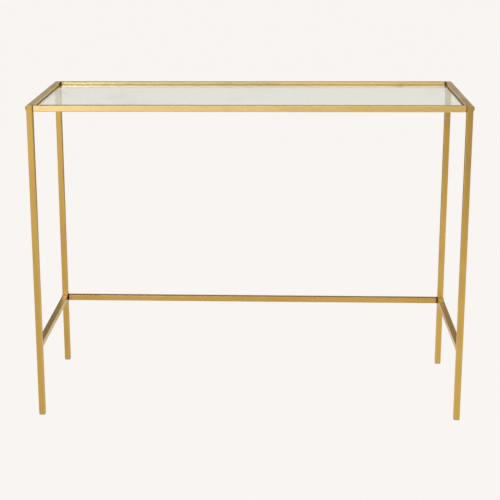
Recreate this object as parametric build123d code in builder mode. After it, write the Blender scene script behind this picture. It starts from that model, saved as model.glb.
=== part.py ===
"""Slim dressing table: a square-tube frame in a satin gold finish with an inset glass top.

Two welded end frames (front leg, back leg, top rail, lower stretcher) are joined by three
cross tubes: front top rail, back top rail and back stretcher. A bolt goes through the leg
into a threaded insert at each end of a cross tube. The glass lies loose, below the top of
the rails, on four welded tabs with clear bumpers. Each leg ends in a plastic glide.

Frame: millimetres, +X to the user's right, +Y to the back, +Z up. The origin is on the
floor, in the middle of the table.
"""

import os

from build123d import *

# ---------------------------------------------------------------- driving dimensions
TABLE_WIDTH = 1040.0
TABLE_DEPTH = 420.0
TABLE_HEIGHT = 776.0

TUBE = 15.0
TUBE_WALL = 1.2
TUBE_CORNER = 2.0

STRETCHER_TOP = 189.0

GLASS_THICKNESS = 5.0
GLASS_GAP = 1.5
GLASS_CORNER = 3.0
GLASS_ARRIS = 0.6

TAB_SPACING = 772.0
TAB_WIDTH = 16.0
TAB_REACH = 12.0
TAB_THICKNESS = 1.5
TAB_NOSE_RADIUS = 5.0
TAB_ROOT = 1.0

BUMPER_DIAMETER = 10.0
BUMPER_THICKNESS = 0.8
BUMPER_EDGE = 0.3

GLIDE_HEIGHT = 4.0
GLIDE_WIDTH = 14.8
GLIDE_CORNER = 2.4
GLIDE_EDGE = 2.0
GLIDE_STEM = 9.5
GLIDE_STEM_LENGTH = 18.0
GLIDE_FIN_THICKNESS = 1.2
GLIDE_FIN_COUNT = 3
GLIDE_FIN_PITCH = 5.0

BOLT_DIAMETER = 6.0
BOLT_LENGTH = 30.0
BOLT_HEAD_DIAMETER = 10.5
BOLT_HEAD_HEIGHT = 2.4
BOLT_HEAD_ROUNDING = 1.6
BOLT_SOCKET_FLATS = 4.0
BOLT_SOCKET_DEPTH = 1.7
BOLT_TIP_CHAMFER = 0.8
BOLT_HOLE_DIAMETER = 6.6

INSERT_LENGTH = 22.0
INSERT_RECESS = 0.5
INSERT_CORNER = 0.6
INSERT_BORE = 6.1

SLIP = 0.1

# ---------------------------------------------------------------- derived places
BORE = TUBE - 2 * TUBE_WALL
BORE_CORNER = TUBE_CORNER - TUBE_WALL
SIDE_X = (TABLE_WIDTH - TUBE) / 2
END_Y = (TABLE_DEPTH - TUBE) / 2
RAIL_Z = TABLE_HEIGHT - TUBE / 2
STRETCHER_Z = STRETCHER_TOP - TUBE / 2
CROSS_HALF = TABLE_WIDTH / 2 - TUBE
SIDE_HALF = TABLE_DEPTH / 2 - TUBE
RAIL_BOTTOM = TABLE_HEIGHT - TUBE
TAB_TOP = RAIL_BOTTOM + TAB_THICKNESS
GLASS_BOTTOM = TAB_TOP + BUMPER_THICKNESS
BUMPER_Y = SIDE_HALF - GLASS_GAP - BUMPER_DIAMETER / 2

SIDES = {"left": -1, "right": 1}
ENDS = {"front": -1, "back": 1}

# Cross tubes by name, with the place of their centre line in Y and Z.
CROSS_TUBES = {
    "front_top_rail": (-END_Y, RAIL_Z),
    "back_top_rail": (END_Y, RAIL_Z),
    "back_stretcher": (END_Y, STRETCHER_Z),
}


def save(piece: BuildPart, name: str) -> None:
    """Label a finished piece and write it as one STEP file."""
    piece.part.label = name
    export_step(piece.part, f"parts/{name}.step")


def tube_section(plane: Plane) -> Sketch:
    """Square tube section with rounded corners, centred on a plane's origin."""
    with BuildSketch(plane) as section:
        RectangleRounded(TUBE, TUBE, TUBE_CORNER)
        RectangleRounded(BORE, BORE, BORE_CORNER, mode=Mode.SUBTRACT)
    return section.sketch


def mitre_plane(side: int, end: int) -> Plane:
    """Plane of the mitre between a leg and its top rail; its normal points at the rail."""
    return Plane(origin=(side * SIDE_X, end * END_Y, RAIL_Z), z_dir=(0, -end, 1))


def bolt_hole(side: int, y: float, z: float) -> Sketch:
    """Circle of a bolt's clearance hole, on the mid plane of an end frame."""
    with BuildSketch(Plane(origin=(side * SIDE_X, y, z), z_dir=(1, 0, 0))) as circle:
        Circle(BOLT_HOLE_DIAMETER / 2)
    return circle.sketch


# ---------------------------------------------------------------- end frames
def make_leg(side_name: str, end_name: str) -> None:
    """Upright tube, mitred at the top, with a hole for each bolt that crosses it."""
    side = SIDES[side_name]
    end = ENDS[end_name]
    foot = Plane(origin=(side * SIDE_X, end * END_Y, GLIDE_HEIGHT))
    with BuildPart() as leg:
        extrude(tube_section(foot), amount=TABLE_HEIGHT - GLIDE_HEIGHT)
        split(bisect_by=mitre_plane(side, end), keep=Keep.BOTTOM)
        for y, z in CROSS_TUBES.values():
            if y == end * END_Y:
                extrude(bolt_hole(side, y, z), amount=TUBE, both=True, mode=Mode.SUBTRACT)
    save(leg, f"{side_name}_{end_name}_leg")


def make_side_top_rail(side_name: str) -> None:
    """Top tube of an end frame, mitred at both ends, drilled at both corners."""
    side = SIDES[side_name]
    middle = Plane(origin=(side * SIDE_X, 0, RAIL_Z), x_dir=(1, 0, 0), z_dir=(0, 1, 0))
    with BuildPart() as rail:
        extrude(tube_section(middle), amount=TABLE_DEPTH / 2, both=True)
        for end in ENDS.values():
            hole = bolt_hole(side, end * END_Y, RAIL_Z)
            split(bisect_by=mitre_plane(side, end), keep=Keep.TOP)
            extrude(hole, amount=TUBE, both=True, mode=Mode.SUBTRACT)
    save(rail, f"{side_name}_top_rail")


def make_side_stretcher(side_name: str) -> None:
    """Low tube of an end frame, welded between the two legs."""
    side = SIDES[side_name]
    middle = Plane(origin=(side * SIDE_X, 0, STRETCHER_Z), x_dir=(1, 0, 0), z_dir=(0, 1, 0))
    with BuildPart() as stretcher:
        extrude(tube_section(middle), amount=SIDE_HALF, both=True)
    save(stretcher, f"{side_name}_lower_stretcher")


# ---------------------------------------------------------------- cross tubes and fixings
def make_cross_tube(name: str) -> None:
    """Square-cut tube between the inner faces of the left and right legs."""
    y, z = CROSS_TUBES[name]
    middle = Plane(origin=(0, y, z), x_dir=(0, 1, 0), z_dir=(1, 0, 0))
    with BuildPart() as tube:
        extrude(tube_section(middle), amount=CROSS_HALF, both=True)
    save(tube, name)


def make_insert(cross_name: str, side_name: str) -> None:
    """Threaded steel block fixed inside the end of a cross tube."""
    side = SIDES[side_name]
    y, z = CROSS_TUBES[cross_name]
    width = BORE - 2 * SLIP
    mouth = Plane(
        origin=(side * (CROSS_HALF - INSERT_RECESS), y, z),
        x_dir=(0, 1, 0),
        z_dir=(-side, 0, 0),
    )
    with BuildPart() as insert:
        with BuildSketch(mouth):
            RectangleRounded(width, width, INSERT_CORNER)
            Circle(INSERT_BORE / 2, mode=Mode.SUBTRACT)
        extrude(amount=INSERT_LENGTH)
    save(insert, f"{cross_name}_{side_name}_insert")


def make_bolt(cross_name: str, side_name: str) -> None:
    """Low round-head bolt with a hex socket, from the outside of a leg into its insert."""
    side = SIDES[side_name]
    y, z = CROSS_TUBES[cross_name]
    seat = Plane(
        origin=(side * TABLE_WIDTH / 2, y, z),
        x_dir=(0, 1, 0),
        z_dir=(side, 0, 0),
    )
    outward = Axis(seat.origin, seat.z_dir)
    with BuildPart() as bolt:
        with BuildSketch(seat):
            Circle(BOLT_HEAD_DIAMETER / 2)
        extrude(amount=BOLT_HEAD_HEIGHT)
        crown = bolt.faces().sort_by(outward)[-1]
        fillet(crown.edges(), radius=BOLT_HEAD_ROUNDING)
        with BuildSketch(seat.offset(BOLT_HEAD_HEIGHT)):
            RegularPolygon(BOLT_SOCKET_FLATS / 2, side_count=6, major_radius=False)
        extrude(amount=-BOLT_SOCKET_DEPTH, mode=Mode.SUBTRACT)
        with BuildSketch(seat):
            Circle(BOLT_DIAMETER / 2)
        extrude(amount=-BOLT_LENGTH)
        tip = bolt.faces().sort_by(outward)[0]
        chamfer(tip.edges(), length=BOLT_TIP_CHAMFER)
    save(bolt, f"{cross_name}_{side_name}_bolt")


# ---------------------------------------------------------------- glass and its supports
def make_tab(end_name: str, side_name: str) -> None:
    """Plate welded to a long rail's inner lower corner; its root follows that corner."""
    end = ENDS[end_name]
    x = SIDES[side_name] * TAB_SPACING / 2
    face_y = end * SIDE_HALF
    plate_length = TAB_REACH + TAB_ROOT
    plate_y = face_y + end * (TAB_ROOT - plate_length / 2)
    with BuildPart() as tab:
        with BuildSketch(Plane(origin=(x, plate_y, RAIL_BOTTOM))):
            Rectangle(TAB_WIDTH, plate_length)
        extrude(amount=TAB_THICKNESS)
        nose = tab.edges().filter_by(Axis.Z).group_by(Axis.Y)[0 if end > 0 else -1]
        fillet(nose, radius=TAB_NOSE_RADIUS)
        corner_centre = (x, face_y + end * TUBE_CORNER, RAIL_BOTTOM + TUBE_CORNER)
        with BuildSketch(Plane(origin=corner_centre, z_dir=(1, 0, 0))):
            Circle(TUBE_CORNER)
        extrude(amount=TAB_WIDTH, both=True, mode=Mode.SUBTRACT)
    save(tab, f"{end_name}_{side_name}_glass_tab")


def make_bumper(end_name: str, side_name: str) -> None:
    """Clear round pad stuck on a tab, under the glass."""
    x = SIDES[side_name] * TAB_SPACING / 2
    y = ENDS[end_name] * BUMPER_Y
    with BuildPart() as bumper:
        with BuildSketch(Plane(origin=(x, y, TAB_TOP))):
            Circle(BUMPER_DIAMETER / 2)
        extrude(amount=BUMPER_THICKNESS)
        fillet(bumper.faces().sort_by(Axis.Z)[-1].edges(), radius=BUMPER_EDGE)
    save(bumper, f"{end_name}_{side_name}_bumper")


def make_glass() -> None:
    """Loose glass panel with small rounded corners and ground arrises."""
    length = 2 * (CROSS_HALF - GLASS_GAP)
    depth = 2 * (SIDE_HALF - GLASS_GAP)
    with BuildPart() as glass:
        with BuildSketch(Plane.XY.offset(GLASS_BOTTOM)):
            RectangleRounded(length, depth, GLASS_CORNER)
        extrude(amount=GLASS_THICKNESS)
        rims = glass.edges().group_by(Axis.Z)
        chamfer(rims[0] + rims[-1], length=GLASS_ARRIS)
    save(glass, "glass_top")


# ---------------------------------------------------------------- feet
def make_glide(side_name: str, end_name: str) -> None:
    """Plastic foot: a rounded pad under the leg, on a finned stem inside the tube."""
    x = SIDES[side_name] * SIDE_X
    y = ENDS[end_name] * END_Y
    fin_width = BORE - 2 * SLIP
    with BuildPart() as glide:
        with BuildSketch(Plane(origin=(x, y, 0))):
            RectangleRounded(GLIDE_WIDTH, GLIDE_WIDTH, GLIDE_CORNER)
        extrude(amount=GLIDE_HEIGHT)
        fillet(glide.faces().sort_by(Axis.Z)[0].edges(), radius=GLIDE_EDGE)
        with BuildSketch(Plane(origin=(x, y, GLIDE_HEIGHT))):
            Rectangle(GLIDE_STEM, GLIDE_STEM)
        extrude(amount=GLIDE_STEM_LENGTH)
        for number in range(1, GLIDE_FIN_COUNT + 1):
            with BuildSketch(Plane(origin=(x, y, GLIDE_HEIGHT + number * GLIDE_FIN_PITCH))):
                RectangleRounded(fin_width, fin_width, INSERT_CORNER)
            extrude(amount=GLIDE_FIN_THICKNESS)
    save(glide, f"{side_name}_{end_name}_glide")


# ---------------------------------------------------------------- the whole table
def main() -> None:
    """Make every piece of the table."""
    os.makedirs("parts", exist_ok=True)
    for side_name in SIDES:
        make_side_top_rail(side_name)
        make_side_stretcher(side_name)
        for end_name in ENDS:
            make_leg(side_name, end_name)
            make_glide(side_name, end_name)
            make_tab(end_name, side_name)
            make_bumper(end_name, side_name)
        for cross_name in CROSS_TUBES:
            make_insert(cross_name, side_name)
            make_bolt(cross_name, side_name)
    for cross_name in CROSS_TUBES:
        make_cross_tube(cross_name)
    make_glass()


main()
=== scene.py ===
"""Looks of the dressing table: finishes, welds, threaded bolts, glass, studio and camera.

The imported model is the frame. Its tubes, glass, tabs, pads, glides and inserts keep their
shape and get a finish here. The bolts are rebuilt with a real thread and hex socket, and
weld seams are added where the lower stretchers and the glass tabs are welded on.
Every length is in metres, in the frame's own axes: +X right, +Y back, +Z up.
"""

import logging
import math
from dataclasses import dataclass, replace
from enum import Enum

import bmesh
import bpy
from mathutils import Matrix, Vector


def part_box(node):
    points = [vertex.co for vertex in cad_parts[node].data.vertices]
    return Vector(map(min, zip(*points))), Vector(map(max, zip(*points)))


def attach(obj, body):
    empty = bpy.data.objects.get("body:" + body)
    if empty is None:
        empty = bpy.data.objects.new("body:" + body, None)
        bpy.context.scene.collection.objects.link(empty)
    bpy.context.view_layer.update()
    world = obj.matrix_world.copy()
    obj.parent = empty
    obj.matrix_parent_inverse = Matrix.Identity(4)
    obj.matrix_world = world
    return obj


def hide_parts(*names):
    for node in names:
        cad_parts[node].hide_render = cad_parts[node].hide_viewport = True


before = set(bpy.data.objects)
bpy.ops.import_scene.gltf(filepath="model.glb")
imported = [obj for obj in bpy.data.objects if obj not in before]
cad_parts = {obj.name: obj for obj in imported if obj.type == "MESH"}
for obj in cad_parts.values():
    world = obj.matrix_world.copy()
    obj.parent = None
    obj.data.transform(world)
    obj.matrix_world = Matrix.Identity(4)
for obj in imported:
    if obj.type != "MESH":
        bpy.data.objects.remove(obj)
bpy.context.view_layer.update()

LOG = logging.getLogger("dressing_table")
MM = 0.001

# Places of the colour sockets on a mix node, after those for numbers and vectors.
MIX_FIRST_COLOUR = 6
MIX_SECOND_COLOUR = 7
MIX_COLOUR_RESULT = 2

Colour = tuple[float, float, float]
Span = tuple[float, float]
Ramp = tuple[float, float, float, float]
Ring = list[bmesh.types.BMVert]


def srgb(red: int, green: int, blue: int) -> Colour:
    """Linear colour from the 0 to 255 values of a paint or plating chart.

    Args:
        red: Red value.
        green: Green value.
        blue: Blue value.

    Returns:
        The linear colour.
    """

    def linear(value: int) -> float:
        """Undo the display curve of one channel."""
        share = value / 255
        return share / 12.92 if share <= 0.04045 else ((share + 0.055) / 1.055) ** 2.4

    return linear(red), linear(green), linear(blue)


class Side(Enum):
    """End frames of the table, by the sign of X."""

    LEFT = -1
    RIGHT = 1

    @property
    def word(self) -> str:
        """Word used in node names."""
        return self.name.lower()


class End(Enum):
    """Front and back of the table, by the sign of Y."""

    FRONT = -1
    BACK = 1

    @property
    def word(self) -> str:
        """Word used in node names."""
        return self.name.lower()


class Grain(Enum):
    """Axis that the brushing runs along."""

    X = 0
    Y = 1
    Z = 2

    def stretch(self, along: float, across: float) -> Vector:
        """Pattern scale, coarse along the grain and fine across it.

        Args:
            along: Pattern repeats in a metre along the grain.
            across: Pattern repeats in a metre across the grain.

        Returns:
            Scale for each row axis.
        """
        scale = Vector((across, across, across))
        scale[self.value] = along
        return scale


# ------------------------------------------------------------------ shader wiring
Feed = float | Colour | Vector | bpy.types.NodeSocket


class Wiring:
    """Adds nodes to one shader tree and feeds their sockets."""

    def __init__(self, tree: bpy.types.NodeTree) -> None:
        """Hold the tree.

        Args:
            tree: Material, world or group tree to build in.
        """
        self.tree = tree

    def feed(self, socket: bpy.types.NodeSocket, value: Feed) -> None:
        """Link another socket to this one, or set its plain value.

        Args:
            socket: Input socket to feed.
            value: Output socket, number, colour or vector.
        """
        if isinstance(value, bpy.types.NodeSocket):
            self.tree.links.new(value, socket)
        elif socket.type == "RGBA" and len(value) == 3:
            socket.default_value = (*value, 1.0)
        else:
            socket.default_value = value

    def node(self, kind: str, inputs: dict[str, Feed] | None = None) -> bpy.types.Node:
        """Add a node and feed its inputs.

        Args:
            kind: Blender's node type, such as ShaderNodeTexNoise.
            inputs: Value or socket for each named input.

        Returns:
            The new node.
        """
        made = self.tree.nodes.new(kind)
        for name, value in (inputs or {}).items():
            self.feed(made.inputs[name], value)
        return made

    def math(self, operation: str, first: Feed, second: Feed = 0.0) -> bpy.types.NodeSocket:
        """Add a math node.

        Args:
            operation: Blender's name of the operation.
            first: First operand.
            second: Second operand, unused by one-operand operations.

        Returns:
            The result's socket.
        """
        made = self.tree.nodes.new("ShaderNodeMath")
        made.operation = operation
        self.feed(made.inputs[0], first)
        self.feed(made.inputs[1], second)
        return made.outputs[0]

    def ramp(self, value: Feed, low: float, high: float, start: float = 0.0,
             stop: float = 1.0) -> bpy.types.NodeSocket:
        """Map a value smoothly from one range to another, with the ends held.

        Args:
            value: Value to map.
            low: Value that gives start.
            high: Value that gives stop.
            start: Result at low.
            stop: Result at high.

        Returns:
            The mapped value's socket.
        """
        made = self.tree.nodes.new("ShaderNodeMapRange")
        made.interpolation_type = "SMOOTHSTEP"
        self.feed(made.inputs["Value"], value)
        made.inputs["From Min"].default_value = low
        made.inputs["From Max"].default_value = high
        made.inputs["To Min"].default_value = start
        made.inputs["To Max"].default_value = stop
        return made.outputs["Result"]

    def mix(self, share: Feed, first: Feed, second: Feed) -> bpy.types.NodeSocket:
        """Blend two colours.

        Args:
            share: 0 gives the first colour and 1 the second.
            first: First colour.
            second: Second colour.

        Returns:
            The blended colour's socket.
        """
        made = self.tree.nodes.new("ShaderNodeMix")
        made.data_type = "RGBA"
        self.feed(made.inputs["Factor"], share)
        self.feed(made.inputs[MIX_FIRST_COLOUR], first)
        self.feed(made.inputs[MIX_SECOND_COLOUR], second)
        return made.outputs[MIX_COLOUR_RESULT]

    def group(self, name: str, inputs: dict[str, Feed]) -> bpy.types.Node:
        """Place a shared group, made on its first use, and feed its named inputs.

        Args:
            name: Name of the group, a key of GROUP_MAKERS.
            inputs: Value or socket for each of its inputs.

        Returns:
            The group's node.
        """
        made = self.tree.nodes.new("ShaderNodeGroup")
        made.node_tree = bpy.data.node_groups.get(name) or GROUP_MAKERS[name](name)
        for key, value in inputs.items():
            self.feed(made.inputs[key], value)
        return made


@dataclass(frozen=True)
class GroupShell:
    """Empty shader group with its named sockets, ready to be filled."""

    name: str
    inputs: dict[str, str]
    outputs: dict[str, str]

    def open(self) -> tuple[Wiring, bpy.types.Node, bpy.types.Node]:
        """Make the group.

        Returns:
            Its wiring, its input node and its output node.
        """
        tree = bpy.data.node_groups.new(self.name, "ShaderNodeTree")
        for name, kind in self.inputs.items():
            tree.interface.new_socket(name=name, in_out="INPUT", socket_type=kind)
        for name, kind in self.outputs.items():
            tree.interface.new_socket(name=name, in_out="OUTPUT", socket_type=kind)
        wiring = Wiring(tree)
        return wiring, wiring.node("NodeGroupInput"), wiring.node("NodeGroupOutput")


FLOAT = "NodeSocketFloat"
VECTOR = "NodeSocketVector"


def brushed_grain(name: str) -> bpy.types.NodeTree:
    """Long fine streaks of brushed metal.

    Args:
        name: Name of the group.

    Returns:
        Group whose Streaks output runs from 0 to 1.
    """
    shell = GroupShell(name, {"Coordinates": VECTOR, "Stretch": VECTOR}, {"Streaks": FLOAT})
    wiring, given, result = shell.open()
    scaled = wiring.node("ShaderNodeVectorMath")
    scaled.operation = "MULTIPLY"
    wiring.feed(scaled.inputs[0], given.outputs["Coordinates"])
    wiring.feed(scaled.inputs[1], given.outputs["Stretch"])
    fine = wiring.node("ShaderNodeTexNoise", {"Vector": scaled.outputs[0], "Scale": 1.0,
                                              "Detail": 3.0, "Roughness": 0.6})
    broad = wiring.node("ShaderNodeTexNoise", {"Vector": scaled.outputs[0], "Scale": 0.22,
                                               "Detail": 1.0, "Roughness": 0.5})
    fine_share = 0.65
    both = wiring.math("ADD", wiring.math("MULTIPLY", fine.outputs["Fac"], fine_share),
                       wiring.math("MULTIPLY", broad.outputs["Fac"], 1 - fine_share))
    wiring.feed(result.inputs["Streaks"], wiring.ramp(both, 0.3, 0.7))
    return wiring.tree


def edge_wear(name: str) -> bpy.types.NodeTree:
    """Rounded corners of a box-shaped piece, broken up by noise.

    Args:
        name: Name of the group.

    Returns:
        Group whose Mask is 1 on a worn corner and 0 on a flat face.
    """
    shell = GroupShell(name, {"Coordinates": VECTOR, "Face Direction": VECTOR, "Breakup": FLOAT},
                       {"Mask": FLOAT})
    wiring, given, result = shell.open()
    size = wiring.node("ShaderNodeVectorMath")
    size.operation = "ABSOLUTE"
    wiring.feed(size.inputs[0], given.outputs["Face Direction"])
    parts = wiring.node("ShaderNodeSeparateXYZ", {"Vector": size.outputs[0]})
    widest = wiring.math("MAXIMUM", wiring.math("MAXIMUM", parts.outputs["X"], parts.outputs["Y"]),
                         parts.outputs["Z"])
    corner = wiring.ramp(wiring.math("SUBTRACT", 1.0, widest), 0.04, 0.26)
    chips = wiring.node("ShaderNodeTexNoise", {"Vector": given.outputs["Coordinates"],
                                               "Scale": given.outputs["Breakup"],
                                               "Detail": 4.0, "Roughness": 0.65})
    broken = wiring.ramp(chips.outputs["Fac"], 0.35, 0.62, 0.25, 1.0)
    wiring.feed(result.inputs["Mask"], wiring.math("MULTIPLY", corner, broken))
    return wiring.tree


def handling_marks(name: str) -> bpy.types.NodeTree:
    """Soft cloudy patches, as left by wiping and handling.

    Args:
        name: Name of the group.

    Returns:
        Group whose Mask is 1 inside a patch and 0 outside.
    """
    shell = GroupShell(name, {"Coordinates": VECTOR, "Patch Scale": FLOAT}, {"Mask": FLOAT})
    wiring, given, result = shell.open()
    cloud = wiring.node("ShaderNodeTexNoise", {"Vector": given.outputs["Coordinates"],
                                               "Scale": given.outputs["Patch Scale"],
                                               "Detail": 5.0, "Roughness": 0.55,
                                               "Distortion": 0.4})
    wiring.feed(result.inputs["Mask"], wiring.ramp(cloud.outputs["Fac"], 0.42, 0.68))
    return wiring.tree


def fine_pitting(name: str) -> bpy.types.NodeTree:
    """Tiny pits and grains of a plated or moulded surface.

    Args:
        name: Name of the group.

    Returns:
        Group whose Height runs from 0 in a pit to 1.
    """
    shell = GroupShell(name, {"Coordinates": VECTOR, "Grain Scale": FLOAT}, {"Height": FLOAT})
    wiring, given, result = shell.open()
    cells = wiring.node("ShaderNodeTexVoronoi", {"Vector": given.outputs["Coordinates"],
                                                 "Scale": given.outputs["Grain Scale"]})
    dust = wiring.node("ShaderNodeTexNoise", {"Vector": given.outputs["Coordinates"],
                                              "Scale": given.outputs["Grain Scale"],
                                              "Detail": 3.0})
    level = wiring.math("ADD", wiring.math("MULTIPLY", cells.outputs["Distance"], 0.5),
                        wiring.math("MULTIPLY", dust.outputs["Fac"], 0.5))
    wiring.feed(result.inputs["Height"], wiring.ramp(level, 0.1, 0.7))
    return wiring.tree


def crevice_grime(name: str) -> bpy.types.NodeTree:
    """Painted shade in narrow grooves and inner corners, where pieces meet, found by an
    ambient-occlusion lookup.

    Args:
        name: Name of the group.

    Returns:
        Group whose Mask is 1 deep in a groove and 0 on an open face.
    """
    shell = GroupShell(name, {"Coordinates": VECTOR, "Reach": FLOAT, "Breakup": FLOAT},
                       {"Mask": FLOAT})
    wiring, given, result = shell.open()
    openness = wiring.node("ShaderNodeAmbientOcclusion", {"Distance": given.outputs["Reach"]})
    openness.samples = 8
    deep = wiring.ramp(openness.outputs["AO"], 0.35, 0.8, 1.0, 0.0)
    patches = wiring.node("ShaderNodeTexNoise", {"Vector": given.outputs["Coordinates"],
                                                 "Scale": given.outputs["Breakup"],
                                                 "Detail": 3.0})
    broken = wiring.ramp(patches.outputs["Fac"], 0.3, 0.55, 0.7, 1.0)
    wiring.feed(result.inputs["Mask"], wiring.math("MULTIPLY", deep, broken))
    return wiring.tree


def heat_tint(name: str) -> bpy.types.NodeTree:
    """Painted shade at both ends of a tube that lies along X, where it butts against a leg.

    Args:
        name: Name of the group.

    Returns:
        Group whose Mask is 1 at the tube's ends and 0 along the rest of it.
    """
    shell = GroupShell(name, {"Coordinates": VECTOR, "Tube End": FLOAT, "Band": FLOAT},
                       {"Mask": FLOAT})
    wiring, given, result = shell.open()
    parts = wiring.node("ShaderNodeSeparateXYZ", {"Vector": given.outputs["Coordinates"]})
    reach = wiring.math("ABSOLUTE", parts.outputs["X"])
    left = wiring.math("SUBTRACT", given.outputs["Tube End"], reach)
    share = wiring.math("DIVIDE", left, given.outputs["Band"])
    wiring.feed(result.inputs["Mask"], wiring.ramp(share, 0.35, 1.0, 1.0, 0.0))
    return wiring.tree


GROUP_MAKERS = {
    "Brushed Grain": brushed_grain,
    "Edge Wear": edge_wear,
    "Handling Marks": handling_marks,
    "Fine Pitting": fine_pitting,
    "Crevice Grime": crevice_grime,
    "Heat Tint": heat_tint,
}


# ------------------------------------------------------------------ finishes
def blank_material(name: str) -> tuple[bpy.types.Material, Wiring, bpy.types.Node]:
    """Material with only its output node.

    Args:
        name: Name of the material.

    Returns:
        The material, its wiring and its output node.
    """
    material = bpy.data.materials.new(name)
    material.use_nodes = True
    material.node_tree.nodes.clear()
    wiring = Wiring(material.node_tree)
    return material, wiring, wiring.node("ShaderNodeOutputMaterial")


@dataclass(frozen=True)
class SatinGold:
    """Gold plating on steel, brushed lengthwise.

    Where another surface mirrors the plating, it shows a paler colour, a painted reflection,
    so that inner corners stay golden.
    """

    plating: Colour = srgb(222, 180, 97)
    deep: Colour = srgb(208, 165, 83)
    rubbed: Colour = srgb(232, 198, 124)
    # Dark colour of the painted shade in grooves and inner corners.
    grime: Colour = srgb(116, 88, 44)
    # Dark colour of the painted shade at the ends of a cross tube.
    tint: Colour = srgb(104, 74, 32)
    echo: Colour = srgb(220, 198, 136)
    polish: float = 0.3
    matt: float = 0.42
    lacquer: float = 0.0
    lacquer_roughness: float = 0.3
    anisotropy: float = 0.7
    streaks_along: float = 14.0
    streaks_across: float = 2600.0
    patch_scale: float = 7.0
    wear_breakup: float = 60.0
    grime_reach: float = 6 * MM
    grime_breakup: float = 400.0
    tint_band: float = 3 * MM
    streak_share: float = 0.55
    wear_gloss: float = 0.06
    grime_dulling: float = 0.2
    bump: float = 0.12
    bump_depth: float = 0.02 * MM

    def material(self, name: str, grain: Grain,
                 tube_end: float | None = None) -> bpy.types.Material:
        """Build the finish.

        Args:
            name: Name of the material.
            grain: Axis that the brushing follows.
            tube_end: X of the ends of a cross tube, which get painted shade, or None for none.

        Returns:
            The material.
        """
        material, wiring, output = blank_material(name)
        where = wiring.node("ShaderNodeTexCoord")
        place = where.outputs["Object"]
        streaks = wiring.group("Brushed Grain", {
            "Coordinates": place,
            "Stretch": grain.stretch(self.streaks_along, self.streaks_across),
        }).outputs["Streaks"]
        marks = wiring.group("Handling Marks", {
            "Coordinates": place, "Patch Scale": self.patch_scale,
        }).outputs["Mask"]
        worn = wiring.group("Edge Wear", {
            "Coordinates": place, "Face Direction": where.outputs["Normal"],
            "Breakup": self.wear_breakup,
        }).outputs["Mask"]
        # Painted shade in grooves and inner corners: it darkens the plating there and dulls it.
        grime = wiring.group("Crevice Grime", {
            "Coordinates": place, "Reach": self.grime_reach, "Breakup": self.grime_breakup,
        }).outputs["Mask"]
        tone = wiring.math("ADD", wiring.math("MULTIPLY", streaks, self.streak_share),
                           wiring.math("MULTIPLY", marks, 1 - self.streak_share))
        base_tone = wiring.mix(worn, wiring.mix(tone, self.plating, self.deep), self.rubbed)
        # Painted reflection: rays that bounce off another surface see the paler colour.
        ray = wiring.node("ShaderNodeLightPath")
        base_tone = wiring.mix(ray.outputs["Is Glossy Ray"], base_tone, self.echo)
        # Painted shade at the tube's ends, where they meet the legs.
        if tube_end is not None:
            tint = wiring.group("Heat Tint", {
                "Coordinates": place, "Tube End": tube_end, "Band": self.tint_band,
            }).outputs["Mask"]
            base_tone = wiring.mix(tint, base_tone, self.tint)
        rough = wiring.ramp(tone, 0.0, 1.0, self.polish, self.matt)
        rough = wiring.math("SUBTRACT", rough, wiring.math("MULTIPLY", worn, self.wear_gloss))
        rough = wiring.math("ADD", rough, wiring.math("MULTIPLY", grime, self.grime_dulling))
        tangent = wiring.node("ShaderNodeTangent")
        tangent.direction_type = "RADIAL"
        tangent.axis = grain.name
        bump = wiring.node("ShaderNodeBump", {
            "Strength": self.bump, "Distance": self.bump_depth, "Height": streaks,
        })
        metal = wiring.node("ShaderNodeBsdfPrincipled", {
            "Base Color": wiring.mix(grime, base_tone, self.grime), "Metallic": 1.0,
            "Roughness": rough, "Anisotropic": self.anisotropy, "Coat Weight": self.lacquer,
            "Coat Roughness": self.lacquer_roughness, "Normal": bump.outputs["Normal"],
            "Tangent": tangent.outputs["Tangent"],
        })
        wiring.feed(output.inputs["Surface"], metal.outputs["BSDF"])
        return material


@dataclass(frozen=True)
class BoltPlating:
    """Turned steel with a duller gold plating."""

    plating: Colour = srgb(196, 158, 92)
    dull: Colour = srgb(160, 124, 66)
    polish: float = 0.26
    matt: float = 0.44
    pit_scale: float = 1800.0
    patch_scale: float = 160.0
    bump: float = 0.15
    bump_depth: float = 0.02 * MM

    def material(self, name: str) -> bpy.types.Material:
        """Build the finish.

        Args:
            name: Name of the material.

        Returns:
            The material.
        """
        material, wiring, output = blank_material(name)
        place = wiring.node("ShaderNodeTexCoord").outputs["Object"]
        pits = wiring.group("Fine Pitting", {
            "Coordinates": place, "Grain Scale": self.pit_scale,
        }).outputs["Height"]
        marks = wiring.group("Handling Marks", {
            "Coordinates": place, "Patch Scale": self.patch_scale,
        }).outputs["Mask"]
        bump = wiring.node("ShaderNodeBump", {
            "Strength": self.bump, "Distance": self.bump_depth, "Height": pits,
        })
        metal = wiring.node("ShaderNodeBsdfPrincipled", {
            "Base Color": wiring.mix(marks, self.plating, self.dull), "Metallic": 1.0,
            "Roughness": wiring.ramp(marks, 0.0, 1.0, self.polish, self.matt),
            "Normal": bump.outputs["Normal"],
        })
        wiring.feed(output.inputs["Surface"], metal.outputs["BSDF"])
        return material


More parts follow.
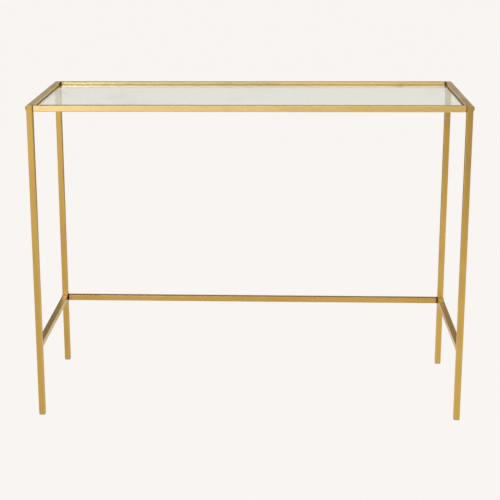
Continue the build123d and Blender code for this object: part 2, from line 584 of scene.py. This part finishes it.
@dataclass(frozen=True)
class ZincSteel:
    """Bright zinc on the steel inserts, with its crystal spangle."""

    bright: Colour = srgb(206, 208, 206)
    grey: Colour = srgb(158, 162, 166)
    spangle_scale: float = 420.0
    polish: float = 0.24
    matt: float = 0.42
    bump: float = 0.2
    bump_depth: float = 0.03 * MM

    def material(self, name: str) -> bpy.types.Material:
        """Build the finish.

        Args:
            name: Name of the material.

        Returns:
            The material.
        """
        material, wiring, output = blank_material(name)
        place = wiring.node("ShaderNodeTexCoord").outputs["Object"]
        spangle = wiring.node("ShaderNodeTexVoronoi", {"Vector": place,
                                                       "Scale": self.spangle_scale})
        tone = wiring.ramp(spangle.outputs["Distance"], 0.1, 0.8)
        pits = wiring.group("Fine Pitting", {
            "Coordinates": place, "Grain Scale": 4 * self.spangle_scale,
        }).outputs["Height"]
        bump = wiring.node("ShaderNodeBump", {
            "Strength": self.bump, "Distance": self.bump_depth, "Height": pits,
        })
        metal = wiring.node("ShaderNodeBsdfPrincipled", {
            "Base Color": wiring.mix(tone, self.bright, self.grey), "Metallic": 1.0,
            "Roughness": wiring.ramp(tone, 0.0, 1.0, self.polish, self.matt),
            "Normal": bump.outputs["Normal"],
        })
        wiring.feed(output.inputs["Surface"], metal.outputs["BSDF"])
        return material


@dataclass(frozen=True)
class ClearGlass:
    """Clear float glass: polished faces, ground edges, a faint green body colour."""

    tint: Colour = srgb(249, 252, 248)
    body: Colour = srgb(150, 214, 186)
    body_density: float = 9.0
    polish: float = 0.004
    smear: float = 0.05
    ground: float = 0.34
    smear_scale: float = 5.0
    refraction: float = 1.52

    def material(self, name: str) -> bpy.types.Material:
        """Build the finish. Shadow and diffuse rays pass it, so that what lies below is lit.

        Args:
            name: Name of the material.

        Returns:
            The material.
        """
        material, wiring, output = blank_material(name)
        where = wiring.node("ShaderNodeTexCoord")
        smear = wiring.group("Handling Marks", {
            "Coordinates": where.outputs["Object"], "Patch Scale": self.smear_scale,
        }).outputs["Mask"]
        facing = wiring.node("ShaderNodeSeparateXYZ", {"Vector": where.outputs["Normal"]})
        upright = wiring.math("ABSOLUTE", facing.outputs["Z"])
        edge = wiring.ramp(upright, 0.6, 0.98, 1.0, 0.0)
        rough = wiring.math("ADD", wiring.ramp(smear, 0.0, 1.0, self.polish, self.smear),
                            wiring.math("MULTIPLY", edge, self.ground))
        glass = wiring.node("ShaderNodeBsdfPrincipled", {
            "Base Color": self.tint, "Roughness": rough, "IOR": self.refraction,
            "Transmission Weight": 1.0,
        })
        clear = wiring.node("ShaderNodeBsdfTransparent", {"Color": self.tint})
        ray = wiring.node("ShaderNodeLightPath")
        both = wiring.node("ShaderNodeMixShader")
        wiring.feed(both.inputs[0], wiring.math("MAXIMUM", ray.outputs["Is Shadow Ray"],
                                                ray.outputs["Is Diffuse Ray"]))
        wiring.feed(both.inputs[1], glass.outputs["BSDF"])
        wiring.feed(both.inputs[2], clear.outputs["BSDF"])
        wiring.feed(output.inputs["Surface"], both.outputs[0])
        body = wiring.node("ShaderNodeVolumeAbsorption", {
            "Color": self.body, "Density": self.body_density,
        })
        wiring.feed(output.inputs["Volume"], body.outputs["Volume"])
        return material


@dataclass(frozen=True)
class ClearPad:
    """Soft clear pad, slightly frosted, with dust in patches."""

    clear: Colour = srgb(244, 243, 236)
    dusty: Colour = srgb(214, 209, 196)
    gloss: float = 0.18
    matt: float = 0.45
    dust_scale: float = 900.0
    refraction: float = 1.41
    clearness: float = 0.2

    def material(self, name: str) -> bpy.types.Material:
        """Build the finish.

        Args:
            name: Name of the material.

        Returns:
            The material.
        """
        material, wiring, output = blank_material(name)
        place = wiring.node("ShaderNodeTexCoord").outputs["Object"]
        dust = wiring.group("Handling Marks", {
            "Coordinates": place, "Patch Scale": self.dust_scale,
        }).outputs["Mask"]
        soft = wiring.node("ShaderNodeBsdfPrincipled", {
            "Base Color": wiring.mix(dust, self.clear, self.dusty),
            "Roughness": wiring.ramp(dust, 0.0, 1.0, self.gloss, self.matt),
            "IOR": self.refraction, "Transmission Weight": self.clearness,
        })
        wiring.feed(output.inputs["Surface"], soft.outputs["BSDF"])
        return material


@dataclass(frozen=True)
class MouldedPlastic:
    """Beige moulded plastic, darkened below its own colour as painted shade, and darker and duller
    in patches, most of all on its downward-facing side.
    """

    # Base colour darker than the plastic's own, as painted shade.
    fresh: Colour = srgb(172, 162, 134)
    scuffed: Colour = srgb(146, 135, 108)
    satin: float = 0.42
    matt: float = 0.68
    grain_scale: float = 2400.0
    scuff_scale: float = 240.0
    bump: float = 0.25
    bump_depth: float = 0.03 * MM

    def material(self, name: str) -> bpy.types.Material:
        """Build the finish.

        Args:
            name: Name of the material.

        Returns:
            The material.
        """
        material, wiring, output = blank_material(name)
        where = wiring.node("ShaderNodeTexCoord")
        place = where.outputs["Object"]
        patches = wiring.group("Handling Marks", {
            "Coordinates": place, "Patch Scale": self.scuff_scale,
        }).outputs["Mask"]
        facing = wiring.node("ShaderNodeSeparateXYZ", {"Vector": where.outputs["Normal"]})
        under = wiring.ramp(wiring.math("MULTIPLY", facing.outputs["Z"], -1.0), 0.1, 0.9)
        # Patches darker and duller, most of all on the downward-facing side.
        dark_patches = wiring.math("MULTIPLY", patches, wiring.ramp(under, 0.0, 1.0, 0.3, 1.0))
        grain = wiring.group("Fine Pitting", {
            "Coordinates": place, "Grain Scale": self.grain_scale,
        }).outputs["Height"]
        bump = wiring.node("ShaderNodeBump", {
            "Strength": self.bump, "Distance": self.bump_depth, "Height": grain,
        })
        plastic = wiring.node("ShaderNodeBsdfPrincipled", {
            "Base Color": wiring.mix(dark_patches, self.fresh, self.scuffed),
            "Roughness": wiring.ramp(dark_patches, 0.0, 1.0, self.satin, self.matt),
            "Normal": bump.outputs["Normal"],
        })
        wiring.feed(output.inputs["Surface"], plastic.outputs["BSDF"])
        return material


class Paintbox:
    """Every finish of the table, each made once."""

    def __init__(self) -> None:
        """Make the materials."""
        tube_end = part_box("front_top_rail")[1].x
        # Darker and wider painted shade at the ends of the back tubes.
        wide_end_shade_band = 6 * MM
        end_shade_colour = srgb(58, 36, 10)
        gold = SatinGold()
        self.leg_gold = gold.material("satin_gold_leg", Grain.Z)
        self.weld_gold = gold.material("satin_gold_weld", Grain.X)
        # The tabs get a lighter colour for the painted shade in their corners.
        faint_shade_gold = replace(gold, grime=srgb(182, 148, 86))
        self.tab_gold = faint_shade_gold.material("satin_gold_tab", Grain.X)
        # The paler copies of the plating on the side tubes and rails are painted highlight; the
        # darker copy on the back stretcher is painted shade.
        self.side_gold = SatinGold(
            plating=srgb(230, 195, 121), deep=srgb(216, 180, 106), rubbed=srgb(236, 206, 140),
        ).material("satin_gold_side", Grain.Y)
        self.stretcher_gold = SatinGold(
            plating=srgb(209, 169, 93), deep=srgb(192, 151, 78), rubbed=srgb(214, 177, 104),
            tint=end_shade_colour, tint_band=wide_end_shade_band,
        ).material("satin_gold_stretcher", Grain.X, tube_end)
        rail = SatinGold(
            plating=srgb(229, 200, 129), deep=srgb(217, 185, 110), rubbed=srgb(236, 213, 154),
            lacquer=0.5,
        )
        self.front_rail_gold = rail.material("pale_gold_front_rail", Grain.X, tube_end)
        back_rail = replace(rail, plating=srgb(220, 193, 126), deep=srgb(208, 178, 107),
                            tint=end_shade_colour, tint_band=wide_end_shade_band)
        self.back_rail_gold = back_rail.material("pale_gold_back_rail", Grain.X, tube_end)
        self.bolt = BoltPlating().material("gold_plated_bolt")
        self.zinc = ZincSteel().material("spangled_zinc")
        self.glass = ClearGlass().material("float_glass")
        self.pad = ClearPad().material("frosted_pad")
        self.glide = MouldedPlastic().material("beige_glide")


def dress(node: str, material: bpy.types.Material) -> None:
    """Give a CAD node its finish.

    Args:
        node: Name of the node.
        material: Its new material.
    """
    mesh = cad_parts[node].data
    mesh.materials.clear()
    mesh.materials.append(material)
    LOG.info("%s: %s", node, material.name)


# ------------------------------------------------------------------ mesh helpers
def new_piece(name: str, mesh: bmesh.types.BMesh, material: bpy.types.Material) -> bpy.types.Object:
    """Turn a finished mesh into a piece that rides on the table's frame.

    Args:
        name: Name of the piece.
        mesh: Closed mesh in the row frame, freed here.
        material: Finish of the piece.

    Returns:
        The new object.
    """
    bmesh.ops.recalc_face_normals(mesh, faces=mesh.faces)
    data = bpy.data.meshes.new(name)
    mesh.to_mesh(data)
    mesh.free()
    data.materials.append(material)
    piece = bpy.data.objects.new(name, data)
    bpy.context.scene.collection.objects.link(piece)
    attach(piece, "frame")
    LOG.info("%s: %d faces, %s", name, len(data.polygons), material.name)
    return piece


def skin_rings(mesh: bmesh.types.BMesh, rings: list[Ring], closed: bool) -> None:
    """Join rings of vertices with quads.

    Args:
        mesh: Mesh that holds the rings.
        rings: Rings of equal length, in order.
        closed: True to join the last ring to the first, False to cap both ends.
    """
    following = rings[1:] + rings[:1] if closed else rings[1:]
    for ring, after in zip(rings, following):
        for index, corner in enumerate(ring):
            step = (index + 1) % len(ring)
            face = mesh.faces.new((corner, ring[step], after[step], after[index]))
            face.smooth = True
    if not closed:
        mesh.faces.new(rings[0])
        mesh.faces.new(rings[-1])


# ------------------------------------------------------------------ bolts
@dataclass
class FrameBolt:
    """M6 bolt with a low round head, a hex socket and a full-length thread."""

    cross_tube: str
    side: Side
    head_radius: float = 5.25 * MM
    head_height: float = 2.4 * MM
    crown_radius: float = 1.6 * MM
    socket_flats: float = 4.0 * MM
    socket_depth: float = 1.7 * MM
    socket_chamfer: float = 0.25 * MM
    socket_dish: float = 0.3 * MM
    thread_radius: float = 3.0 * MM
    thread_depth: float = 0.5 * MM
    pitch: float = 1.0 * MM
    tip_chamfer: float = 0.8 * MM
    spokes: int = 48
    crown_steps: int = 8
    steps_in_pitch: int = 6

    @property
    def node(self) -> str:
        """CAD node that this bolt stands for."""
        return f"{self.cross_tube}_{self.side.word}_bolt"

    def build(self, material: bpy.types.Material) -> bpy.types.Object:
        """Make the bolt in place of its CAD node.

        Args:
            material: Finish of the bolt.

        Returns:
            The new piece.
        """
        low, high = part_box(self.node)
        outer = high.x if self.side is Side.RIGHT else low.x
        centre = Vector((outer, (low.y + high.y) / 2, (low.z + high.z) / 2))
        length = high.x - low.x
        mesh = bmesh.new()
        rings = self.socket_rings(mesh) + self.head_rings(mesh) + self.thread_rings(mesh, length)
        skin_rings(mesh, rings, closed=False)
        turn = Matrix.Rotation(math.pi, 4, "Z") if self.side is Side.LEFT else Matrix()
        mesh.transform(Matrix.Translation(centre) @ turn)
        piece = new_piece(self.node + "_threaded", mesh, material)
        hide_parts(self.node)
        return piece

    def ring(self, mesh: bmesh.types.BMesh, x: float, radii: list[float]) -> Ring:
        """One ring of vertices about the bolt's axis.

        Args:
            mesh: Mesh to add to.
            x: Place along the axis, 0 at the head's top and negative towards the tip.
            radii: Distance from the axis at each spoke.

        Returns:
            The ring's vertices.
        """
        made = []
        for index, radius in enumerate(radii):
            angle = 2 * math.pi * index / self.spokes
            made.append(mesh.verts.new((x, radius * math.cos(angle), radius * math.sin(angle))))
        return made

    def hexagon(self, flats: float) -> list[float]:
        """Radii of a hexagon at each spoke.

        Args:
            flats: Distance between opposite sides.

        Returns:
            Distance from the axis at each spoke.
        """
        sector = math.pi / 3
        radii = []
        for index in range(self.spokes):
            angle = 2 * math.pi * index / self.spokes % sector - sector / 2
            radii.append(flats / 2 / math.cos(angle))
        return radii

    def socket_rings(self, mesh: bmesh.types.BMesh) -> list[Ring]:
        """Rings from the socket's floor up to its chamfered mouth.

        Args:
            mesh: Mesh to add to.

        Returns:
            The rings, in order.
        """
        inner = self.hexagon(self.socket_flats)
        floor = self.hexagon(0.5 * self.socket_flats)
        mouth = self.socket_flats / math.sqrt(3) + self.socket_chamfer
        return [
            self.ring(mesh, -self.socket_depth - self.socket_dish, floor),
            self.ring(mesh, -self.socket_depth, inner),
            self.ring(mesh, -self.socket_chamfer, inner),
            self.ring(mesh, 0.0, [mouth] * self.spokes),
        ]

    def head_rings(self, mesh: bmesh.types.BMesh) -> list[Ring]:
        """Rings over the rounded crown and down to the flat underside.

        Args:
            mesh: Mesh to add to.

        Returns:
            The rings, in order.
        """
        rings = []
        for step in range(self.crown_steps + 1):
            angle = math.pi / 2 * step / self.crown_steps
            radius = self.head_radius - self.crown_radius * (1 - math.sin(angle))
            x = -self.crown_radius * (1 - math.cos(angle))
            rings.append(self.ring(mesh, x, [radius] * self.spokes))
        rings.append(self.ring(mesh, -self.head_height, [self.head_radius] * self.spokes))
        rings.append(self.ring(mesh, -self.head_height, [self.thread_radius] * self.spokes))
        return rings

    def thread_rings(self, mesh: bmesh.types.BMesh, length: float) -> list[Ring]:
        """Rings down the threaded shank to its chamfered tip.

        Args:
            mesh: Mesh to add to.
            length: Length of the whole bolt.

        Returns:
            The rings, in order.
        """
        shank = length - self.head_height
        count = round(shank / self.pitch * self.steps_in_pitch)
        rings = []
        for step in range(1, count + 1):
            depth = shank * step / count
            room = min(1.0, depth / self.pitch, (shank - depth) / self.pitch)
            limit = self.thread_radius - max(0.0, self.tip_chamfer - (shank - depth))
            radii = []
            for index in range(self.spokes):
                turn = (depth / self.pitch - index / self.spokes) % 1.0
                groove = self.thread_depth * (1 - abs(2 * turn - 1)) * room
                radii.append(min(self.thread_radius - groove, limit))
            rings.append(self.ring(mesh, -self.head_height - depth, radii))
        return rings


# ------------------------------------------------------------------ welds
@dataclass
class StretcherWeld:
    """Weld that runs round the end of a lower stretcher, where it meets a leg.

    It fills the groove beside the leg's rounded corners flush, and stands up as a low
    rippled bead above and below.
    """

    side: Side
    end: End
    bead: float = 0.9 * MM
    groove: float = 1.6 * MM
    skin: float = 0.05 * MM
    side_reach: float = 0.35
    middle_reach: float = 0.55
    corner: float = 2.0 * MM
    ripple: float = 0.12 * MM
    ripple_length: float = 1.6 * MM
    spacing: float = 0.4 * MM

    def build(self, material: bpy.types.Material) -> bpy.types.Object:
        """Make the weld.

        Args:
            material: Finish of the weld.

        Returns:
            The new piece.
        """
        low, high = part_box(f"{self.side.word}_lower_stretcher")
        end_y = high.y if self.end is End.BACK else low.y
        inward = -float(self.end.value)
        centre = Vector(((low.x + high.x) / 2, end_y, (low.z + high.z) / 2))
        half = (high.z - low.z) / 2
        mesh = bmesh.new()
        rings = []
        travelled = 0.0
        for point, outward in self.outline(half):
            upright = abs(outward.z)
            wave = self.ripple * math.sin(2 * math.pi * travelled / self.ripple_length)
            rise = self.skin + upright ** 2 * (self.bead + wave)
            reach = (self.bead + wave) * (self.side_reach + (1 - self.side_reach) * upright)
            middle_rise = self.skin + (1 - self.middle_reach) * (rise - self.skin)
            base = centre + point
            along = Vector((0, inward, 0))
            ring = [
                base - outward * self.groove - along * self.groove * (1 - upright),
                base + outward * rise - along * self.groove * (1 - upright),
                base + outward * rise,
                base + outward * middle_rise + along * self.middle_reach * reach,
                base + outward * self.skin + along * reach,
                base - outward * self.groove + along * reach,
            ]
            rings.append([mesh.verts.new(corner) for corner in ring])
            travelled += self.spacing
        skin_rings(mesh, rings, closed=True)
        name = f"{self.side.word}_{self.end.word}_stretcher_weld"
        return new_piece(name, mesh, material)

    def outline(self, half: float) -> list[tuple[Vector, Vector]]:
        """Points round the stretcher's rounded square section, in the XZ plane.

        Args:
            half: Half of the stretcher's width.

        Returns:
            Each point and the direction out of the section there.
        """
        flat = half - self.corner
        steps = max(2, round(2 * flat / self.spacing))
        arc_steps = max(4, round(math.pi / 2 * self.corner / self.spacing))
        points = []
        for quarter in range(4):
            turn = Matrix.Rotation(-quarter * math.pi / 2, 3, "Y")
            for step in range(steps):
                place = Vector((half, 0, -flat + 2 * flat * step / steps))
                points.append((turn @ place, turn @ Vector((1, 0, 0))))
            for step in range(arc_steps):
                angle = math.pi / 2 * step / arc_steps
                outward = Vector((math.cos(angle), 0, math.sin(angle)))
                place = Vector((flat, 0, flat)) + outward * self.corner
                points.append((turn @ place, turn @ outward))
        return points


@dataclass
class TabWeld:
    """Short fillet under the rail's lower corner that holds a glass tab."""

    end: End
    side: Side
    size: float = 0.8 * MM
    ripple: float = 0.12 * MM
    ripple_length: float = 1.8 * MM
    end_cut: float = 0.08
    steps: int = 30
    arc_steps: int = 5

    def build(self, material: bpy.types.Material) -> bpy.types.Object:
        """Make the weld on top of the tab, along the rail's inner face.

        Args:
            material: Finish of the weld.

        Returns:
            The new piece.
        """
        low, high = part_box(f"{self.end.word}_{self.side.word}_glass_tab")
        rail_low, rail_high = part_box(f"{self.end.word}_top_rail")
        face_y = rail_low.y if self.end is End.BACK else rail_high.y
        inward = -float(self.end.value)
        mesh = bmesh.new()
        rings = []
        for step in range(self.steps + 1):
            x = low.x + (high.x - low.x) * step / self.steps
            share = self.end_cut + (1 - 2 * self.end_cut) * step / self.steps
            taper = math.sqrt(math.sin(math.pi * share))
            wave = self.ripple * math.sin(2 * math.pi * x / self.ripple_length)
            size = (self.size + wave) * taper
            ring = [Vector((x, face_y - inward * self.size, high.z - self.size / 2))]
            for arc in range(self.arc_steps + 1):
                angle = math.pi / 2 * arc / self.arc_steps
                ring.append(Vector((x, face_y + inward * size * math.cos(angle),
                                    high.z + size * math.sin(angle))))
            ring.append(Vector((x, face_y - inward * self.size, high.z + size)))
            rings.append([mesh.verts.new(corner) for corner in ring])
        skin_rings(mesh, rings, closed=False)
        name = f"{self.end.word}_{self.side.word}_tab_weld"
        return new_piece(name, mesh, material)


# ------------------------------------------------------------------ sub-assemblies
@dataclass
class EndFrame:
    """Welded end frame: two legs, a top rail and a lower stretcher."""

    side: Side

    def dress(self, paints: Paintbox) -> None:
        """Give the tubes their brushed gold finish.

        Args:
            paints: The table's finishes.
        """
        for end in End:
            dress(f"{self.side.word}_{end.word}_leg", paints.leg_gold)
        dress(f"{self.side.word}_top_rail", paints.side_gold)
        dress(f"{self.side.word}_lower_stretcher", paints.side_gold)

    def build(self, paints: Paintbox) -> None:
        """Add the welds at both ends of the lower stretcher.

        Args:
            paints: The table's finishes.
        """
        for end in End:
            StretcherWeld(self.side, end).build(paints.weld_gold)


@dataclass
class CrossTubes:
    """Front rail, back rail and back stretcher, with their inserts and bolts."""

    names: tuple[str, ...] = ("front_top_rail", "back_top_rail", "back_stretcher")

    def dress(self, paints: Paintbox) -> None:
        """Give the tubes and inserts their finishes.

        Args:
            paints: The table's finishes.
        """
        golds = (paints.front_rail_gold, paints.back_rail_gold, paints.stretcher_gold)
        for name, gold in zip(self.names, golds):
            dress(name, gold)
            for side in Side:
                dress(f"{name}_{side.word}_insert", paints.zinc)
                dress(f"{name}_{side.word}_bolt", paints.bolt)

    def build(self, paints: Paintbox) -> None:
        """Replace the plain bolts with threaded ones.

        Args:
            paints: The table's finishes.
        """
        for name in self.names:
            for side in Side:
                FrameBolt(name, side).build(paints.bolt)


@dataclass
class GlassTop:
    """Loose glass panel and the four welded tabs and clear pads under it."""

    panel: str = "glass_top"

    def dress(self, paints: Paintbox) -> None:
        """Give the panel, tabs and pads their finishes.

        Args:
            paints: The table's finishes.
        """
        dress(self.panel, paints.glass)
        for end in End:
            for side in Side:
                dress(f"{end.word}_{side.word}_glass_tab", paints.tab_gold)
                dress(f"{end.word}_{side.word}_bumper", paints.pad)

    def build(self, paints: Paintbox) -> None:
        """Add the fillet weld of each tab.

        Args:
            paints: The table's finishes.
        """
        for end in End:
            for side in Side:
                TabWeld(end, side).build(paints.tab_gold)


@dataclass
class Feet:
    """Plastic glides in the ends of the four legs."""

    def dress(self, paints: Paintbox) -> None:
        """Give the glides their finish.

        Args:
            paints: The table's finishes.
        """
        for side in Side:
            for end in End:
                dress(f"{side.word}_{end.word}_glide", paints.glide)


# ------------------------------------------------------------------ studio
@dataclass
class Softbox:
    """Square studio light aimed at the table."""

    name: str
    place: Vector
    size: float
    power: float
    colour: Colour = (1.0, 1.0, 1.0)
    target: Vector = Vector((0, 0, 0.45))

    def build(self) -> bpy.types.Object:
        """Place the light.

        Returns:
            The light's object.
        """
        data = bpy.data.lights.new(self.name, "AREA")
        data.shape = "SQUARE"
        data.size = self.size
        data.energy = self.power
        data.color = self.colour
        light = bpy.data.objects.new(self.name, data)
        light.location = self.place
        light.rotation_mode = "QUATERNION"
        light.rotation_quaternion = (self.target - self.place).to_track_quat("-Z", "Y")
        bpy.context.scene.collection.objects.link(light)
        return light


@dataclass
class Studio:
    """Pale floor that runs out of sight, soft lights and a room that the metal mirrors.

    Fades and blends of the room run over a component of the direction, from -1 to 1. Those of
    the floor run over metres, and four values give where a ramp starts and ends and its levels.
    """

    pale: Colour = srgb(249, 245, 242)
    horizon: Colour = (0.7, 0.64, 0.575)
    dusk: Colour = (0.15, 0.13, 0.1)
    dusk_right: Colour = (0.34, 0.31, 0.25)
    wall_left: Colour = (1.36, 1.58, 2.8)
    wall_right: Colour = (2.15, 1.78, 0.92)
    wall_end: Colour = (0.4, 0.35, 0.22)
    ceiling: Colour = (0.54, 0.51, 0.47)
    horizon_fade: Span = (0.17, 0.3)
    wall_fade: Span = (0.15, 0.5)
    ceiling_fade: Span = (0.5, 0.85)
    middle: float = 0.05
    middle_fade: Span = (0.2, 0.5)
    dusk_blend: Span = (0.1, 0.4)
    wall_blend: Span = (-0.3, 0.25)
    wall_right_end: Span = (0.28, 0.5)
    wall_left_end: Span = (-0.8, -0.5)
    turn_behind: Span = (-0.15, 0.15)
    floor_half: float = 60.0
    floor_glow: float = 1.016
    floor_near: Ramp = (-0.8, 0.8, 0.74, 0.86)
    floor_far: Ramp = (-0.5, 1.2, 1.0, 0.2)
    floor_far_right: Ramp = (0.5, 1.2, 1.0, 0.3)
    floor_behind: Ramp = (0.5, 2.2, 1.0, 0.25)
    near_blend: Span = (-3.6, -1.6)
    catch: float = 0.03

    def build(self) -> None:
        """Make the floor, the room light and the softboxes."""
        self.build_floor()
        self.build_room()
        for light in self.softboxes():
            light.build()
        view = bpy.context.scene.view_settings
        view.view_transform = "Standard"
        view.look = "None"

    def softboxes(self) -> list[Softbox]:
        """Key light at the front left, a weaker fill at the right, and one overhead.

        Returns:
            The three lights, not built yet.
        """
        return [
            Softbox("key_softbox", Vector((-2.0, -4.0, 1.9)), size=2.2, power=30.0,
                    colour=(1.0, 1.03, 1.12)),
            Softbox("fill_softbox", Vector((3.2, -2.6, 1.5)), size=1.6, power=14.0,
                    colour=(1.0, 0.96, 0.88)),
            Softbox("top_softbox", Vector((0.0, -1.4, 3.4)), size=1.8, power=14.0),
        ]

    def seen(self, wiring: Wiring) -> bpy.types.NodeSocket:
        """Mask of the rays that reach the eye straight or through the glass.

        Args:
            wiring: Node tree to add to.

        Returns:
            1 for those rays and 0 for the rest.
        """
        ray = wiring.node("ShaderNodeLightPath")
        return wiring.math("MAXIMUM", ray.outputs["Is Camera Ray"],
                           ray.outputs["Is Transmission Ray"])

    def build_room(self) -> None:
        """World that is pale to the eye and mirrors as a room.

        The room has a bright wall in front with dimmer ends, a grey ceiling, and behind the
        table a low glow in the middle.
        """
        world = bpy.data.worlds.new("studio_room")
        world.use_nodes = True
        world.node_tree.nodes.clear()
        wiring = Wiring(world.node_tree)
        direction = wiring.node("ShaderNodeTexCoord").outputs["Generated"]
        axes = wiring.node("ShaderNodeSeparateXYZ", {"Vector": direction}).outputs
        low = wiring.ramp(axes["Z"], *self.horizon_fade, 1.0, 0.0)
        aside = wiring.math("ABSOLUTE", wiring.math("SUBTRACT", axes["X"], self.middle))
        middle = wiring.ramp(aside, *self.middle_fade, 1.0, 0.0)
        dusk = wiring.mix(wiring.ramp(axes["X"], *self.dusk_blend), self.dusk, self.dusk_right)
        behind = wiring.mix(wiring.math("MULTIPLY", low, middle), dusk, self.horizon)
        across = wiring.ramp(axes["X"], *self.wall_blend)
        wall = wiring.mix(across, self.wall_left, self.wall_right)
        wall = wiring.mix(wiring.ramp(axes["X"], *self.wall_right_end), wall, self.wall_end)
        wall = wiring.mix(wiring.ramp(axes["X"], *self.wall_left_end, 1.0, 0.0), wall, self.ceiling)
        front = wiring.mix(wiring.ramp(axes["Z"], *self.wall_fade), wall, self.dusk)
        room = wiring.mix(wiring.ramp(axes["Y"], *self.turn_behind), front, behind)
        room = wiring.mix(wiring.ramp(axes["Z"], *self.ceiling_fade), room, self.ceiling)
        shade = wiring.mix(self.seen(wiring), room, self.pale)
        light = wiring.node("ShaderNodeBackground", {"Color": shade, "Strength": 1.0})
        output = wiring.node("ShaderNodeOutputWorld")
        wiring.feed(output.inputs["Surface"], light.outputs[0])
        bpy.context.scene.world = world

    def mirrored_floor(self, wiring: Wiring) -> bpy.types.NodeSocket:
        """Level of the floor in reflections: falls off to the right and behind the table.

        Args:
            wiring: Node tree to add to.

        Returns:
            The level.
        """
        place = wiring.node("ShaderNodeTexCoord").outputs["Object"]
        axes = wiring.node("ShaderNodeSeparateXYZ", {"Vector": place}).outputs
        far = wiring.math("MULTIPLY", wiring.ramp(axes["X"], *self.floor_far),
                          wiring.ramp(axes["X"], *self.floor_far_right))
        near = wiring.ramp(axes["X"], *self.floor_near)
        closeness = wiring.ramp(axes["Y"], *self.near_blend)
        level = wiring.math("ADD", wiring.math("MULTIPLY", near, closeness),
                            wiring.math("MULTIPLY", far, wiring.math("SUBTRACT", 1.0, closeness)))
        return wiring.math("MULTIPLY", level, wiring.ramp(axes["Y"], *self.floor_behind))

    def build_floor(self) -> None:
        """Floor plane: pale to the eye, with faint soft shadows."""
        mesh = bmesh.new()
        bmesh.ops.create_grid(mesh, x_segments=8, y_segments=8, size=self.floor_half)
        data = bpy.data.meshes.new("floor")
        mesh.to_mesh(data)
        mesh.free()
        floor = bpy.data.objects.new("floor", data)
        bpy.context.scene.collection.objects.link(floor)
        material, wiring, output = blank_material("studio_floor")
        level = self.mirrored_floor(wiring)
        mirrored = wiring.node("ShaderNodeCombineColor")
        for channel in mirrored.inputs:
            wiring.feed(channel, level)
        glow_colour = wiring.mix(self.seen(wiring), mirrored.outputs[0], self.pale)
        glow = wiring.node("ShaderNodeEmission", {"Color": glow_colour,
                                                  "Strength": self.floor_glow})
        matt = wiring.node("ShaderNodeBsdfDiffuse", {"Color": self.pale})
        both = wiring.node("ShaderNodeMixShader")
        both.inputs[0].default_value = self.catch
        wiring.feed(both.inputs[1], glow.outputs[0])
        wiring.feed(both.inputs[2], matt.outputs[0])
        wiring.feed(output.inputs["Surface"], both.outputs[0])
        data.materials.append(material)


@dataclass
class FrontCamera:
    """Long lens in front of the table, a little to the right and above the top."""

    place: Vector = Vector((0.07404, -3.25496, 1.24744))
    yaw: float = -0.05396
    pitch: float = 0.26229
    roll: float = -0.00713
    lens: float = 95.005
    film_width: float = 36.0
    shift: float = 0.08
    sight: float = 200.0

    def build(self) -> bpy.types.Object:
        """Place the camera and make it the scene's own.

        Returns:
            The camera's object.
        """
        ahead = Vector((math.sin(self.yaw) * math.cos(self.pitch),
                        math.cos(self.yaw) * math.cos(self.pitch), -math.sin(self.pitch)))
        level = Vector((math.cos(self.yaw), -math.sin(self.yaw), 0.0))
        upright = level.cross(ahead)
        right = math.cos(self.roll) * level + math.sin(self.roll) * upright
        up = -math.sin(self.roll) * level + math.cos(self.roll) * upright
        data = bpy.data.cameras.new("front_camera")
        data.sensor_width = self.film_width
        data.lens = self.lens
        data.shift_x = self.shift
        data.clip_end = self.sight
        camera = bpy.data.objects.new("front_camera", data)
        turn = Matrix((right, up, -ahead)).transposed().to_4x4()
        camera.matrix_world = Matrix.Translation(self.place) @ turn
        bpy.context.scene.collection.objects.link(camera)
        bpy.context.scene.camera = camera
        return camera


def main() -> None:
    """Dress and complete the table, then light and frame it."""
    logging.basicConfig(level=logging.INFO, format="%(name)s %(message)s")
    FrontCamera().build()
    Studio().build()
    paints = Paintbox()
    for side in Side:
        end_frame = EndFrame(side)
        end_frame.dress(paints)
        end_frame.build(paints)
    cross_tubes = CrossTubes()
    cross_tubes.dress(paints)
    cross_tubes.build(paints)
    top = GlassTop()
    top.dress(paints)
    top.build(paints)
    Feet().dress(paints)


if __name__ == "__main__":
    main()
